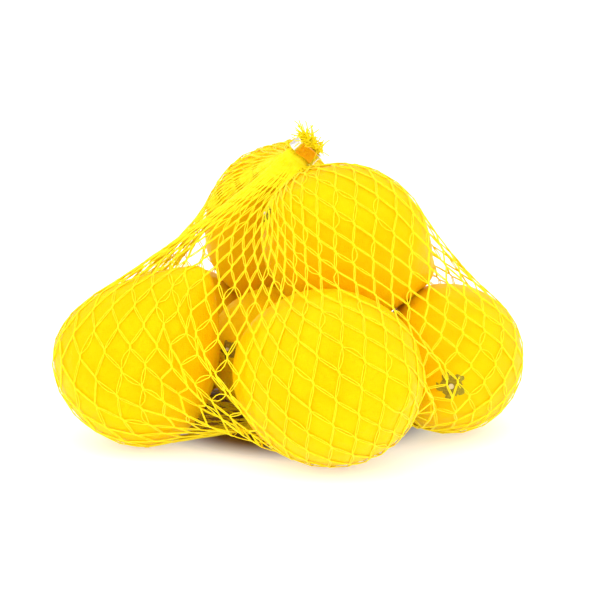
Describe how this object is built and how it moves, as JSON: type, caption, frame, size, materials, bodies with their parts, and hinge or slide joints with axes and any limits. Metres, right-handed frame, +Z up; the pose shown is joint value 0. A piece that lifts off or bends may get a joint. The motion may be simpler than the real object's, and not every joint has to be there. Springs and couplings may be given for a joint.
{
  "type": "net of lemons",
  "caption": "Whole lemons held in a yellow knotless net bag, gathered at the top and closed with a small metal clip; rests on its fruit.",
  "frame": {"origin": "on the ground under the middle of the pack's bounding box", "axes": "+Z up, -Y towards the shown front, +X to the right as seen from the front"},
  "size_m": [0.1803, 0.165, 0.117],
  "materials": {
    "lemons_in_net": "waxy lemon peel under a glossy yellow net",
    "clip": "plain bright strip, crimped"
  },
  "bodies": {
    "root": {"net_bag": "lemons_in_net", "top_clip": "clip", "base_clip": "clip"}
  },
  "joints": []
}
